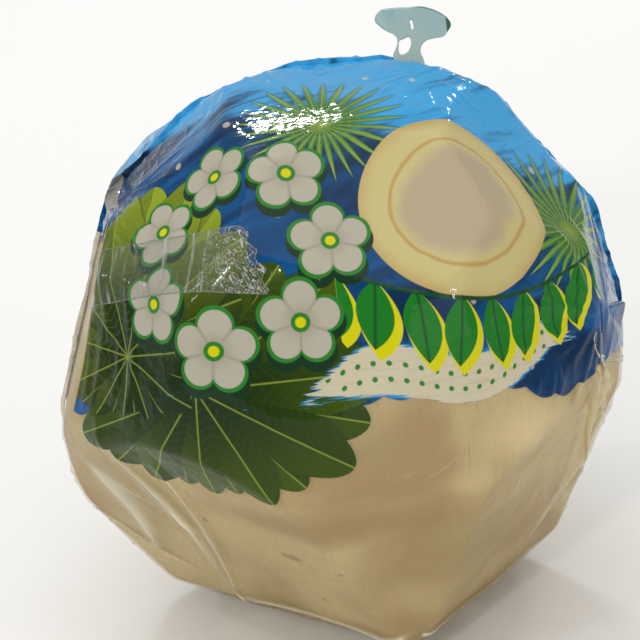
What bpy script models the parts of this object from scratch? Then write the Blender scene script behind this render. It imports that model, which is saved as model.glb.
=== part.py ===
"""A young coconut, trimmed with a knife to its white husk and sealed in a clear shrink-film bag.

Metres, +Z up. The origin is the middle of the flat base, on the surface that the coconut stands on.
-Y is the front, where the film's print is widest, and +X is to the right of someone who looks at it.
"""
import math

import bmesh
import bpy
from mathutils import Matrix, Vector

# Driving dimensions of the trimmed body, measured over the film
BODY_WIDTH = 0.1290
BODY_DEPTH = 0.1250
BODY_HEIGHT = 0.1215
HEART_HEIGHT = 0.0620
FULLNESS = 2.6

# Each knife cut faces this far round from +X and this far up, in degrees, and lies this far from the heart
UNDER_CUTS = (
    (-128, -55, 0.0623),
    (-38, -54, 0.0662),
    (5, -55, 0.0705),
    (50, -56, 0.0665),
    (95, -55, 0.0650),
    (140, -56, 0.0660),
    (178, -55, 0.0690),
)
LOWER_CUTS = (
    (-128, -29, 0.0540),
    (-84, -20, 0.0600),
    (-40, -26, 0.0575),
    (2, -18, 0.0608),
    (40, -28, 0.0565),
    (80, -22, 0.0590),
    (122, -30, 0.0560),
    (160, -20, 0.0610),
    (180, -32, 0.0655),
    (178, -8, 0.0630),
)
UPPER_CUTS = (
    (179, 20, 0.0560),
    (-145, 18, 0.0605),
    (-95, 24, 0.0615),
    (-45, 16, 0.0620),
    (-8, 14, 0.0625),
    (50, 18, 0.0595),
    (100, 20, 0.0595),
    (140, 14, 0.0590),
)
TOP_CUTS = (
    (-150, 50, 0.0590),
    (-80, 52, 0.0605),
    (-15, 44, 0.0612),
    (16, 34, 0.0625),
    (45, 50, 0.0610),
    (120, 58, 0.0600),
    (175, 52, 0.0572),
    (60, 84, 0.0588),
)
BODY_SEGMENTS = 56
BODY_RINGS = 32

# Film, its welded seam, and the play that touching pieces keep
FILM_THICKNESS = 0.0004
PLAY = 0.0003
SEAM_LEAN = math.radians(22.0)
SEAM_HEIGHT = 0.0012
SEAM_THICKNESS = 0.0009
SEAM_FOOT = 0.038

# Ears and flaps of the seam: middle across and up from the heart, width, height, turn
EAR = (-0.0455, 0.0330, 0.0085, 0.0130, math.radians(38.0))
FLAP = (0.0590, 0.0010, 0.0110, 0.0120, math.radians(8.0))
CRUMPLE = (-0.0600, -0.0180, 0.0085, 0.0100, math.radians(-10.0))

# Shrunken tab on top of the bag: a cap on a stem, with a hole melted through it
TAB_ACROSS = 0.0245
TAB_ROOT = 0.0580
TAB_CAP_WIDTH = 0.0170
TAB_CAP_HEIGHT = 0.0052
TAB_CAP_RISE = 0.0105
TAB_STEM_WIDTH = 0.0060
TAB_THICKNESS = 0.0012
TAB_HOLE = 0.0026
TAB_HOLE_ACROSS = -0.0009

# Vent holes at the back of the bag, each this far round and up
VENT_BORE = 0.0030
VENTS = ((94, 12), (80, 27), (108, -4))

# Strip of clear tape on the left of the front, from one place on the film to another
TAPE_WIDTH = 0.0165
TAPE_THICKNESS = 0.0003
TAPE_START = (-163, 30)
TAPE_END = (-106, 40)
TAPE_REACH = 0.030


def clear_scene():
    """Removes every object, so that the part is the only thing in the file."""
    for item in list(bpy.data.objects):
        bpy.data.objects.remove(item, do_unlink=True)


def make_collection(name):
    """A new collection in the scene."""
    made = bpy.data.collections.new(name)
    bpy.context.scene.collection.children.link(made)
    return made


def make_material(name, colour, roughness, alpha=1.0):
    """A plain surface with a colour, a roughness and how much of it is solid."""
    material = bpy.data.materials.new(name)
    material.use_nodes = True
    shader = material.node_tree.nodes["Principled BSDF"]
    shader.inputs["Base Color"].default_value = (*colour, 1.0)
    shader.inputs["Roughness"].default_value = roughness
    shader.inputs["Metallic"].default_value = 0.0
    shader.inputs["Alpha"].default_value = alpha
    return material


def facing(azimuth, rise):
    """The unit vector at these angles in degrees, round from +X and up from level."""
    turn = math.radians(azimuth)
    lift = math.radians(rise)
    return Vector((math.cos(lift) * math.cos(turn), math.cos(lift) * math.sin(turn), math.sin(lift)))


def heart():
    """The middle of the body, which the knife cuts are measured from."""
    return Vector((0.0, 0.0, HEART_HEIGHT))


def seam_frame():
    """The seam's plane, leaning back over the top: across, along it upwards, and square to it."""
    across = Vector((1.0, 0.0, 0.0))
    upward = Vector((0.0, math.sin(SEAM_LEAN), math.cos(SEAM_LEAN)))
    frame = Matrix((across, upward, across.cross(upward))).transposed().to_4x4()
    frame.translation = heart()
    return frame


def make_object(name, form, collection, material=None):
    """An object from a bmesh, which is used up."""
    mesh = bpy.data.meshes.new(name)
    form.to_mesh(mesh)
    form.free()
    made = bpy.data.objects.new(name, mesh)
    collection.objects.link(made)
    if material is not None:
        mesh.materials.append(material)
    return made


def slice_away(form, point, normal):
    """Cuts off everything on the side that normal faces, and closes the cut with one face."""
    parts = form.verts[:] + form.edges[:] + form.faces[:]
    cut = bmesh.ops.bisect_plane(form, geom=parts, plane_co=point, plane_no=normal, clear_outer=True)
    rim = [item for item in cut["geom_cut"] if isinstance(item, bmesh.types.BMEdge)]
    if rim:
        bmesh.ops.holes_fill(form, edges=rim, sides=0)


def trimmed_body(offset):
    """The trimmed coconut's form, grown outwards by offset: a full body with knife cuts all round."""
    form = bmesh.new()
    bmesh.ops.create_uvsphere(form, u_segments=BODY_SEGMENTS, v_segments=BODY_RINGS, radius=1.0)
    for vert in form.verts:
        level = math.hypot(vert.co.x, vert.co.y)
        stretch = (level**FULLNESS + abs(vert.co.z) ** FULLNESS) ** (-1.0 / FULLNESS)
        vert.co *= stretch
        vert.co.x *= BODY_WIDTH / 2 + offset
        vert.co.y *= BODY_DEPTH / 2 + offset
        crown = BODY_HEIGHT - HEART_HEIGHT
        vert.co.z *= (crown if vert.co.z > 0 else HEART_HEIGHT * 1.08) + offset
        vert.co.z += HEART_HEIGHT
    for azimuth, rise, distance in UNDER_CUTS + LOWER_CUTS + UPPER_CUTS + TOP_CUTS:
        normal = facing(azimuth, rise)
        slice_away(form, heart() + normal * (distance + offset), normal)
    slice_away(form, Vector((0.0, 0.0, -offset)), Vector((0.0, 0.0, -1.0)))
    bmesh.ops.remove_doubles(form, verts=form.verts, dist=0.00002)
    bmesh.ops.triangulate(form, faces=form.faces)
    bmesh.ops.recalc_face_normals(form, faces=form.faces)
    return form


def box(name, size, placement, collection):
    """A box of a given size, placed by a matrix."""
    form = bmesh.new()
    bmesh.ops.create_cube(form, size=1.0)
    bmesh.ops.scale(form, vec=size, verts=form.verts)
    bmesh.ops.transform(form, matrix=placement, verts=form.verts)
    return make_object(name, form, collection)


def disc(name, width, height, thickness, placement, collection):
    """A flat oval plate, placed by a matrix whose third axis is square to it."""
    form = bmesh.new()
    bmesh.ops.create_cone(form, cap_ends=True, segments=28, radius1=0.5, radius2=0.5, depth=1.0)
    bmesh.ops.scale(form, vec=(width, height, thickness), verts=form.verts)
    bmesh.ops.transform(form, matrix=placement, verts=form.verts)
    return make_object(name, form, collection)


def as_cutter(item):
    """Hides a helper solid from renders and shows it as wires."""
    item.hide_render = True
    item.display_type = "WIRE"
    return item


def combine(target, other, operation):
    """Joins another solid to the target, takes it away, or keeps what both hold."""
    as_cutter(other)
    step = target.modifiers.new(f"{operation.lower()} {other.name}", "BOOLEAN")
    step.operation = operation
    step.solver = "EXACT"
    step.object = other


def seam_ridge(cutters):
    """The weld that runs up both sides of the bag and over its top, standing a little proud of the film."""
    ridge = make_object("seam_ridge_form", trimmed_body(SEAM_HEIGHT), cutters)
    frame = seam_frame()
    reach = BODY_WIDTH
    middle = frame @ Matrix.Translation((0.0, reach / 2 - HEART_HEIGHT + SEAM_FOOT, 0.0))
    slab = box("seam_slab", (reach * 1.2, reach, SEAM_THICKNESS), middle, cutters)
    combine(ridge, slab, "INTERSECT")
    as_cutter(slab)
    return ridge


def seam_plate(name, spec, cutters):
    """A flat ear of film that stands out from the seam."""
    across, upward, width, height, turn = spec
    middle = seam_frame() @ Matrix.Translation((across, upward, 0.0)) @ Matrix.Rotation(turn, 4, "Z")
    return disc(name, width, height, SEAM_THICKNESS, middle, cutters)


def top_tab(cutters):
    """The shrunken tab: a cap on a narrow stem, with a melted hole between them."""
    frame = seam_frame() @ Matrix.Translation((TAB_ACROSS, TAB_ROOT, 0.0))
    cap_middle = frame @ Matrix.Translation((0.0, TAB_CAP_RISE, 0.0))
    cap = disc("tab_cap", TAB_CAP_WIDTH, TAB_CAP_HEIGHT, TAB_THICKNESS, cap_middle, cutters)
    stem_middle = frame @ Matrix.Translation((0.0, TAB_CAP_RISE / 2 - 0.001, 0.0))
    stem = box("tab_stem", (TAB_STEM_WIDTH, TAB_CAP_RISE, TAB_THICKNESS), stem_middle, cutters)
    combine(cap, stem, "UNION")
    hole_middle = frame @ Matrix.Translation((TAB_HOLE_ACROSS, TAB_CAP_RISE * 0.52, 0.0))
    hole = disc("tab_hole", TAB_HOLE, TAB_HOLE * 1.4, TAB_THICKNESS * 3, hole_middle, cutters)
    combine(cap, hole, "DIFFERENCE")
    return cap


def vent(index, azimuth, rise, cutters):
    """A round cutter through the film alone, from the middle of the play inside it outwards."""
    normal = facing(azimuth, rise)
    turn = normal.to_track_quat("Z", "Y").to_matrix().to_4x4()
    placement = Matrix.Translation(heart() + normal * BODY_DEPTH / 2) @ turn
    return disc(f"vent_cutter_{index}", VENT_BORE, VENT_BORE, 0.02, placement, cutters)


def make_coconut(parts):
    """The husk, as one grown solid."""
    material = make_material("husk", (0.62, 0.52, 0.36), 0.72)
    return make_object("coconut", trimmed_body(-(FILM_THICKNESS + PLAY)), parts, material)


def make_film(parts, cutters):
    """The shrunken bag: a skin of even thickness with its seam, ears and tab, and with vents at the back."""
    material = make_material("print_film", (0.05, 0.30, 0.60), 0.15)
    film = make_object("film_wrap", trimmed_body(0.0), parts, material)
    combine(film, seam_ridge(cutters), "UNION")
    combine(film, seam_plate("ear_form", EAR, cutters), "UNION")
    combine(film, seam_plate("flap_form", FLAP, cutters), "UNION")
    combine(film, seam_plate("crumple_form", CRUMPLE, cutters), "UNION")
    combine(film, top_tab(cutters), "UNION")
    cavity = make_object("film_cavity", trimmed_body(-FILM_THICKNESS), cutters)
    combine(film, cavity, "DIFFERENCE")
    for index, (azimuth, rise) in enumerate(VENTS):
        combine(film, vent(index, azimuth, rise, cutters), "DIFFERENCE")
    return film


def make_tape(parts, cutters):
    """The strip of tape, bent to the film that it sticks to."""
    material = make_material("clear_tape", (0.85, 0.88, 0.88), 0.2, alpha=0.4)
    tape = make_object("clear_tape", trimmed_body(PLAY + TAPE_THICKNESS), parts, material)
    inner = make_object("tape_inside", trimmed_body(PLAY), cutters)
    start = facing(*TAPE_START)
    end = facing(*TAPE_END)
    outward = (start + end).normalized()
    along = (end - start).normalized()
    aside = outward.cross(along).normalized()
    frame = Matrix((along, aside, outward)).transposed().to_4x4()
    frame.translation = heart() + outward * BODY_WIDTH / 2
    length = (end - start).length * BODY_WIDTH / 2
    strip = box("tape_strip", (length, TAPE_WIDTH, TAPE_REACH * 2), frame, cutters)
    combine(tape, inner, "DIFFERENCE")
    combine(tape, strip, "INTERSECT")
    return tape


def main():
    """Builds the three pieces."""
    clear_scene()
    parts = make_collection("wrapped_young_coconut")
    cutters = make_collection("cutters")
    make_coconut(parts)
    make_film(parts, cutters)
    make_tape(parts, cutters)


main()
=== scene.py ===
# %% [markdown]
# # A young coconut in shrink film
# The object is a young coconut that has been trimmed with a knife to its cream husk and sealed in a printed,
# clear shrink-film bag. It has three pieces: the husk, the film with its welded seam, and a strip of clear
# tape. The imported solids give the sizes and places, and this script makes the fine surfaces that replace
# them.

# %% Load the solids
import math

import bmesh
import bpy
import numpy as np
from mathutils import Matrix, Vector
from mathutils.bvhtree import BVHTree


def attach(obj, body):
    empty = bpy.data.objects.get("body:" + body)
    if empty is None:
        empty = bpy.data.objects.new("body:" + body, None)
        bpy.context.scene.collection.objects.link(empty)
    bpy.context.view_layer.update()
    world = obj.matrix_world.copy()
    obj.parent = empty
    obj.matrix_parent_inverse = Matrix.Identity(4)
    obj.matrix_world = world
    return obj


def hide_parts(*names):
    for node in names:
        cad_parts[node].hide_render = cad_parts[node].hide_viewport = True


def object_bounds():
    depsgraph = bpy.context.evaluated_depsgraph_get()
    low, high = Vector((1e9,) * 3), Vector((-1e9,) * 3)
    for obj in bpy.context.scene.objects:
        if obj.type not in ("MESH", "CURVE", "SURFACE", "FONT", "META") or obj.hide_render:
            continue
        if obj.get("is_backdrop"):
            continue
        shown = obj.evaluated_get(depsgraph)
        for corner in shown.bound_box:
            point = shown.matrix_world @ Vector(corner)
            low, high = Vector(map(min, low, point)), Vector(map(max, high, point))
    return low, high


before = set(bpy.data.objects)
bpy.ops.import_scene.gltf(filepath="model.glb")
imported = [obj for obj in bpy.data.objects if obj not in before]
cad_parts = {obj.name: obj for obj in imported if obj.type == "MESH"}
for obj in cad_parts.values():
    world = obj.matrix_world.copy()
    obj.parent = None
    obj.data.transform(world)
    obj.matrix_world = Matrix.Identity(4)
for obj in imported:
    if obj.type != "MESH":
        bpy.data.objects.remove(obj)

CAD_LOW, CAD_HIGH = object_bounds()
MM = 0.001
print("solids:", sorted(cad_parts), "box", [round(v / MM, 1) for v in CAD_HIGH - CAD_LOW], "mm")

# %% [markdown]
# ## The camera
# The photograph looks down on the coconut by about 25 degrees, from well back, and the coconut leans a little
# to the left in it. A real camera would be tilted by hand. Here its three axes are written out as vectors,
# because the same vectors also tell where a pixel of the photograph falls on the coconut.

# %% Set up the camera
PHOTO_SIDE = 640
PIXEL = 0.223 * MM
DISTANCE = 0.6
ELEVATION = math.radians(25.0)
ROLL = math.radians(6.5)
AIM = Vector((-0.0029, 0.0, 0.0668))

level_right = Vector((1.0, 0.0, 0.0))
level_up = Vector((0.0, math.sin(ELEVATION), math.cos(ELEVATION)))
camera_back = Vector((0.0, -math.cos(ELEVATION), math.sin(ELEVATION)))
camera_right = level_right * math.cos(ROLL) - level_up * math.sin(ROLL)
camera_up = level_right * math.sin(ROLL) + level_up * math.cos(ROLL)
camera_place = AIM + camera_back * DISTANCE

camera_data = bpy.data.cameras.new("Camera")
camera_data.sensor_width = 36.0
camera_data.lens = DISTANCE / (PIXEL * PHOTO_SIDE) * camera_data.sensor_width
camera = bpy.data.objects.new("Camera", camera_data)
bpy.context.scene.collection.objects.link(camera)
camera.matrix_world = Matrix((
    (camera_right.x, camera_up.x, camera_back.x, camera_place.x),
    (camera_right.y, camera_up.y, camera_back.y, camera_place.y),
    (camera_right.z, camera_up.z, camera_back.z, camera_place.z),
    (0.0, 0.0, 0.0, 1.0),
))
bpy.context.scene.camera = camera
print("camera", [round(v, 3) for v in camera_place], "lens", round(camera_data.lens, 1), "mm")

# %% [markdown]
# ## Measuring the trimmed body
# The husk's solid is star-shaped: every point of it can be seen from a point in its middle, its heart. So a
# fine surface can be made from a ball of points by asking, for each direction, how far it is from the heart
# to the solid. A cube whose faces are cut into a grid and then blown up gives points that are spread far more
# evenly than those of a globe with poles. The ball leans back as the film's weld does, so one of its rings of
# points lies on the weld.

# %% A ball of evenly spread directions
HEART = Vector((0.0, 0.0, 0.062))
SEAM_LEAN = math.radians(22.0)
FILM_GRID = 176
HUSK_GRID = 120


def blown_cube(name, cuts):
    """A cube with each face cut into a grid, blown up to a ball of radius 1 and leaned back."""
    form = bmesh.new()
    bmesh.ops.create_cube(form, size=2.0)
    bmesh.ops.subdivide_edges(form, edges=form.edges, cuts=cuts - 1, use_grid_fill=True)
    for vert in form.verts:
        spread = Vector([math.tan(axis * math.pi / 4) for axis in vert.co])
        vert.co = spread.normalized()
    ball = bpy.data.meshes.new(name)
    form.to_mesh(ball)
    form.free()
    ball.transform(Matrix.Rotation(-SEAM_LEAN, 4, "X"))
    return ball


def points_of(mesh):
    """The places of a mesh's points, one row each."""
    flat = np.empty(len(mesh.vertices) * 3)
    mesh.vertices.foreach_get("co", flat)
    return flat.reshape(-1, 3)


def edges_of(mesh):
    """The two points of each edge, one row each."""
    flat = np.empty(len(mesh.edges) * 2, dtype=np.int32)
    mesh.edges.foreach_get("vertices", flat)
    return flat.reshape(-1, 2)


heart = np.array(HEART)
husk_ball = blown_cube("husk_ball", HUSK_GRID)
film_ball = blown_cube("film_ball", FILM_GRID)
husk_ways = points_of(husk_ball)
film_ways = points_of(film_ball)
print("directions:", len(husk_ways), "for the husk and", len(film_ways), "for the film")

# %% How far a surface is in each direction
graph = bpy.context.evaluated_depsgraph_get()
husk_solid = BVHTree.FromObject(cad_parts["coconut"], graph)


def reach(surface, ways):
    """The distance from the heart to a surface along each direction."""
    return np.array([surface.ray_cast(HEART, Vector(way))[3] for way in ways])


def relax(values, pairs, rounds):
    """Evens out a value over a mesh by mixing each point with the mean of its neighbours."""
    count = len(values)
    ends = np.concatenate((pairs[:, 0], pairs[:, 1]))
    others = np.concatenate((pairs[:, 1], pairs[:, 0]))
    share = np.bincount(ends, minlength=count)
    for _ in range(rounds):
        mean = np.bincount(ends, weights=values[others], minlength=count) / share
        values = 0.5 * values + 0.5 * mean
    return values


husk_reach = reach(husk_solid, husk_ways)
film_reach = reach(husk_solid, film_ways)
husk_pairs = edges_of(husk_ball)
film_pairs = edges_of(film_ball)
print("reach from", round(husk_reach.min() / MM, 1), "to", round(husk_reach.max() / MM, 1), "mm")

# %% [markdown]
# ## Where a pixel falls
# Creases, print and tape are placed from the photograph. A ray from the camera through a pixel meets the
# solid at a point, and the film's flat label has its own two coordinates in millimetres: across, to the right
# of its middle, and up. They are measured along the surface from the middle of the print, as if the film were
# peeled off and laid flat. The bag is two sheets that are welded in a plane that leans back over the top. The
# back sheet is printed like the front one and the prints meet at the weld, so its coordinates are the same
# ones, seen from behind the weld's plane.

# %% From pixels to the body and to the label
LABEL_RADIUS = 62.0
MIDDLE_PIXEL = (335, 338)

seam_up = np.array((0.0, math.sin(SEAM_LEAN), math.cos(SEAM_LEAN)))
seam_out = np.array((0.0, -math.cos(SEAM_LEAN), math.sin(SEAM_LEAN)))


def label_of(ways, back):
    """The label coordinates of directions from the heart. back is true for those on the back sheet."""
    side = np.where(back, -1.0, 1.0)
    across = ways[:, 0] * side
    ahead = ways @ seam_out * side
    upward = ways @ seam_up
    flat = np.maximum(np.hypot(across, upward), 1e-9)
    far = LABEL_RADIUS * np.arccos(np.clip(ahead, -1.0, 1.0)) / flat
    return across * far, upward * far


def way_to(spot, back=False):
    """The direction from the heart to a label spot."""
    far = math.hypot(*spot)
    angle = far / LABEL_RADIUS
    share = math.sin(angle) / max(far, 1e-9)
    side = -1.0 if back else 1.0
    across = np.array((spot[0], 0.0, 0.0)) * share
    return (seam_out * math.cos(angle) + across) * side + seam_up * (spot[1] * share)


def through(pixel):
    """The direction in which the camera sees a pixel."""
    right = (pixel[0] - PHOTO_SIDE / 2) * PIXEL
    up = (PHOTO_SIDE / 2 - pixel[1]) * PIXEL
    return (camera_right * right + camera_up * up - camera_back * DISTANCE).normalized()


def on_body(pixel):
    """The point of the trimmed solid that a pixel shows, or the first one met on the way to its middle."""
    for step in range(50):
        share = step / 100
        nearer = [p * (1.0 - share) + m * share for p, m in zip(pixel, MIDDLE_PIXEL)]
        hit = husk_solid.ray_cast(camera_place, through(nearer))[0]
        if hit:
            return hit
    raise ValueError(f"pixel {pixel} is far off the body")


def on_weld(pixel, ahead=0.0):
    """The point that a pixel shows on the weld's plane, or on a plane some millimetres ahead of it."""
    way = through(pixel)
    normal = Vector(seam_out)
    level = (HEART - camera_place).dot(normal) + ahead * MM
    return camera_place + way * (level / way.dot(normal))


def spot_of(way, back=False):
    """The label coordinates of one direction."""
    across, upward = label_of(np.array(way)[None, :], np.array([back]))
    return np.array((float(across[0]), float(upward[0])))


def label_spot(pixel):
    """The label coordinates that a pixel shows."""
    return spot_of((on_body(pixel) - HEART).normalized())


print("the middle of the photograph is at", np.round(label_spot((320, 320)), 1), "on the label")

# %% [markdown]
# ## Creases in the film
# Shrunken film lies tight on round places and stands up in narrow folds where it has too much width: beside
# the weld, round the welded ears, and where a flat knife facet meets the next. Cloth simulation is made for
# soft folds, and would lose these thin, stiff ones, so each fold is a ridge along a short path. Its height
# fades to both ends, and its cross-section is narrow and round.

# %% Helpers for folds
fold_draw = np.random.default_rng(7)
on_front = film_ways @ seam_out > -1e-5
film_u, film_v = label_of(film_ways, ~on_front)
film_lift = np.zeros(len(film_ways))


def add_fold(start, end, width, height, bow=0.0, front=True, crest=1.5):
    """Raises a ridge between two label spots, in millimetres, bowed sideways by a share of its length."""
    start = np.array(start, float)
    along = np.array(end, float) - start
    length = np.hypot(*along)
    if length < 0.1:
        return
    along /= length
    du = film_u - start[0]
    dv = film_v - start[1]
    place = (du * along[0] + dv * along[1]) / length
    near = (place > -0.05) & (place < 1.05) & (on_front == front)
    place = place[near]
    aside = -du[near] * along[1] + dv[near] * along[0]
    aside = aside - bow * length * 4.0 * place * (1.0 - place)
    rise = np.clip(4.0 * place * (1.0 - place), 0.0, 1.0) ** 0.6
    ridge = height * rise * np.exp(-np.abs(aside / width) ** crest)
    film_lift[near] = np.maximum(film_lift[near], ridge) + 0.25 * np.minimum(film_lift[near], ridge)


def fan_of_folds(root, first, last, count, far, width, height, front=True):
    """Folds that spread from one spot, between two angles in degrees."""
    for angle in np.linspace(first, last, count):
        turn = math.radians(angle + fold_draw.uniform(-4.0, 4.0))
        way = np.array((math.cos(turn), math.sin(turn)))
        start = np.array(root) + way * fold_draw.uniform(0.5, 3.0)
        end = start + way * far * fold_draw.uniform(0.55, 1.15)
        size = fold_draw.uniform(0.55, 1.1)
        add_fold(start, end, width * size, height * size, fold_draw.uniform(-0.06, 0.06), front)


def row_of_folds(first, last, count, lean, long, width, height, front=True):
    """Nearly parallel folds whose middles lie along a line, leaning by an angle in degrees."""
    for step in np.linspace(0.0, 1.0, count):
        middle = np.array(first) * (1.0 - step) + np.array(last) * step + fold_draw.normal(0.0, 0.8, 2)
        turn = math.radians(lean + fold_draw.uniform(-9.0, 9.0))
        half = np.array((math.cos(turn), math.sin(turn))) * long * fold_draw.uniform(0.3, 0.6)
        size = fold_draw.uniform(0.5, 1.1)
        bow = fold_draw.uniform(-0.05, 0.05)
        add_fold(middle - half, middle + half, width * size, height * size, bow, front)


# %% Folds that the photograph shows
LEFT_CREASE = ((97, 410), (231, 588))
LEFT_CREASE_OUTER = ((80, 438), (163, 583))
LEFT_CREASE_INNER = ((148, 458), (234, 588))
LOOSE_EDGE = ((158, 560), (190, 590), (245, 594), (330, 614), (405, 632))
LOOSE_EDGE_RIGHT = ((420, 626), (500, 578), (566, 540))
RIGHT_CREASE = ((560, 172), (585, 206), (599, 255), (604, 295))
FLAP_ROOT = (597, 318)
EAR_ROOT = (122, 205)
HEM_PUCKERS = ((398, 468), (470, 430), (560, 392))
TAB_ROOT = (410, 76)
RIGHT_PLEAT = ((590, 372), (588, 415), (581, 462))
WRINKLES = (
    ((430, 474), (455, 456)), ((502, 499), (519, 476)), ((536, 516), (545, 482)), ((522, 470), (540, 452)),
    ((470, 470), (486, 449)), ((400, 480), (418, 470)), ((560, 470), (566, 440)),
)
LEFT_FOLDS = ((LEFT_CREASE, 2.8, 1.3), (LEFT_CREASE_OUTER, 3.4, 1.2), (LEFT_CREASE_INNER, 1.6, 1.0))

for pair, width, height in LEFT_FOLDS:
    add_fold(label_spot(pair[0]), label_spot(pair[1]), width, height, 0.02, crest=1.0)
for pair in WRINKLES:
    add_fold(label_spot(pair[0]), label_spot(pair[1]), 0.75, 0.55, 0.16)
for path, height in ((LOOSE_EDGE, 1.3), (LOOSE_EDGE_RIGHT, 0.8), (RIGHT_CREASE, 0.7), (RIGHT_PLEAT, 1.2)):
    for first, last in zip(path, path[1:]):
        start, end = label_spot(first), label_spot(last)
        add_fold(start - 0.15 * (end - start), end + 0.15 * (end - start), 1.0, height)
fan_of_folds(label_spot(FLAP_ROOT), 95, 262, 10, 26, 1.2, 0.7)
fan_of_folds(label_spot(EAR_ROOT), -100, 30, 15, 24, 0.8, 0.55)
fan_of_folds(label_spot(TAB_ROOT), 185, 355, 15, 20, 0.75, 0.45)
row_of_folds((-74.0, 30.0), (-44.0, 24.0), 7, 84, 34, 1.5, 0.6)
row_of_folds((-72.0, 2.0), (-50.0, 0.0), 5, 80, 26, 1.4, 0.4)
row_of_folds(label_spot(HEM_PUCKERS[0]), label_spot(HEM_PUCKERS[1]), 9, 62, 11, 0.8, 0.4)
row_of_folds(label_spot(HEM_PUCKERS[1]), label_spot(HEM_PUCKERS[2]), 10, 70, 15, 0.8, 0.5)
row_of_folds((62.0, -14.0), (88.0, -30.0), 7, 66, 26, 0.9, 0.7)
row_of_folds((-70.0, -30.0), (-52.0, -52.0), 6, -55, 34, 1.0, 0.6)
row_of_folds((-30.0, 78.0), (40.0, 84.0), 16, 88, 12, 0.8, 0.25)
row_of_folds((74.0, 10.0), (80.0, 50.0), 5, 74, 34, 1.8, 0.6)
print("folds so far raise", int((film_lift > 0.05).sum()), "points, at most", round(film_lift.max(), 2), "mm")

# %% [markdown]
# ## Folds that any such bag has
# Away from what the photograph shows, the same kinds of fold go on: pleats that cross the weld all round,
# gathered film under the base, and a scatter of short dents where the film bridges the husk's fibres.

# %% Pleats beside the weld, on both sheets
PLEAT_STEP = 5.5


def weld_way(angle, swing=0.0):
    """The direction to the weld at an angle from the right, in degrees, swung off its plane to the front."""
    turn, off = math.radians(angle), math.radians(swing)
    flat = np.array((math.cos(turn), 0.0, 0.0)) + seam_up * math.sin(turn)
    return flat * math.cos(off) + seam_out * math.sin(off)


for front in (True, False):
    toward = 1.0 if front else -1.0
    for angle in np.arange(-40.0, 221.0, PLEAT_STEP):
        foot = angle + fold_draw.uniform(-2.0, 2.0)
        outer = spot_of(weld_way(foot, 1.0 * toward), not front)
        inner_way = weld_way(foot + fold_draw.uniform(-3.0, 3.0), fold_draw.uniform(7.0, 18.0) * toward)
        inner = spot_of(inner_way, not front)
        size = fold_draw.uniform(0.4, 1.1)
        outer = outer + (outer - inner) * 0.3
        add_fold(outer, inner, 0.85 * size, 0.5 * size, fold_draw.uniform(-0.08, 0.08), front)

# %% A scatter of small dents, and gathers under the base
for _ in range(320):
    spot = fold_draw.uniform(-95.0, 95.0, 2)
    lean = fold_draw.uniform(0.0, math.pi)
    half = np.array((math.cos(lean), math.sin(lean))) * fold_draw.uniform(1.0, 4.0)
    front = bool(fold_draw.random() < 0.6)
    add_fold(spot - half, spot + half, fold_draw.uniform(0.6, 1.1), fold_draw.uniform(0.04, 0.16), 0.1, front)


def ripple(ways, wave_mm, count, draw):
    """A soft, aimless swell made of plane waves with a set length, mostly between -1 and 1."""
    turns = draw.normal(size=(count, 3))
    turns /= np.linalg.norm(turns, axis=1)[:, None]
    phases = draw.uniform(0.0, 2.0 * math.pi, count)
    scale = 2.0 * math.pi * LABEL_RADIUS / (wave_mm * draw.uniform(0.75, 1.35, count))
    total = np.zeros(len(ways))
    for turn, size, phase in zip(turns, scale, phases):
        total += np.sin(ways @ turn * size + phase)
    return total / math.sqrt(count)


film_azimuth = np.arctan2(film_ways[:, 1], film_ways[:, 0])
under = np.clip((-film_ways[:, 2] - 0.80) / 0.1, 0.0, 1.0)
gathers = np.maximum(np.sin(film_azimuth * 26.0 + 1.5 * ripple(film_ways, 60.0, 8, fold_draw)), 0.0) ** 3
film_lift = np.maximum(film_lift, 0.35 * gathers * under)
swell = 0.13 * ripple(film_ways, 26.0, 24, fold_draw) + 0.035 * ripple(film_ways, 8.0, 30, fold_draw)
print("the swell runs from", round(swell.min(), 2), "to", round(swell.max(), 2), "mm")

# %% [markdown]
# ## The husk
# A knife leaves broad, flat facets whose edges are a little rounded, and across them fine ribs where the
# blade tears the long fibres. The measured reach already has the facets. Evening it out a little rounds the
# edges, and narrow waves that run up the nut cut the fibre marks into it. All of them go inwards, so the film
# still clears it.

# %% Build the husk
HUSK_EDGE_ROUNDS = 6
UV_SPAN = 400.0
husk_draw = np.random.default_rng(11)
husk_even = np.minimum(relax(husk_reach, husk_pairs, HUSK_EDGE_ROUNDS), husk_reach)
husk_azimuth = np.arctan2(husk_ways[:, 1], husk_ways[:, 0])
fibre = np.abs(np.sin(husk_azimuth * 46.0 + 1.3 * ripple(husk_ways, 30.0, 12, husk_draw)))
patches = np.clip(ripple(husk_ways, 34.0, 14, husk_draw), 0.0, 1.0)
husk_dip = 0.10 * fibre**3 * patches + 0.05 * (1.0 + ripple(husk_ways, 6.0, 20, husk_draw) / 3.0)
husk_radius = husk_even - husk_dip * MM


def new_piece(name, mesh):
    """An object in the scene that holds a mesh."""
    mesh.name = name
    made = bpy.data.objects.new(name, mesh)
    bpy.context.scene.collection.objects.link(made)
    return made


def keep_value(item, name, values):
    """Keeps a number on each point of an object's mesh."""
    kept_values = item.data.attributes.new(name, "FLOAT", "POINT")
    kept_values.data.foreach_set("value", np.asarray(values, dtype=np.float32).ravel())


def lay_label(item, ways, back=False):
    """Gives an object its label coordinates as a UV map."""
    mesh = item.data
    corner = np.empty(len(mesh.loops), dtype=np.int32)
    mesh.loops.foreach_get("vertex_index", corner)
    across, upward = label_of(ways, np.full(len(ways), back))
    spots = np.stack((across, upward), axis=1)[corner] / UV_SPAN + 0.5
    layer = mesh.uv_layers.new(name="label")
    layer.data.foreach_set("uv", spots.ravel())


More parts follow.
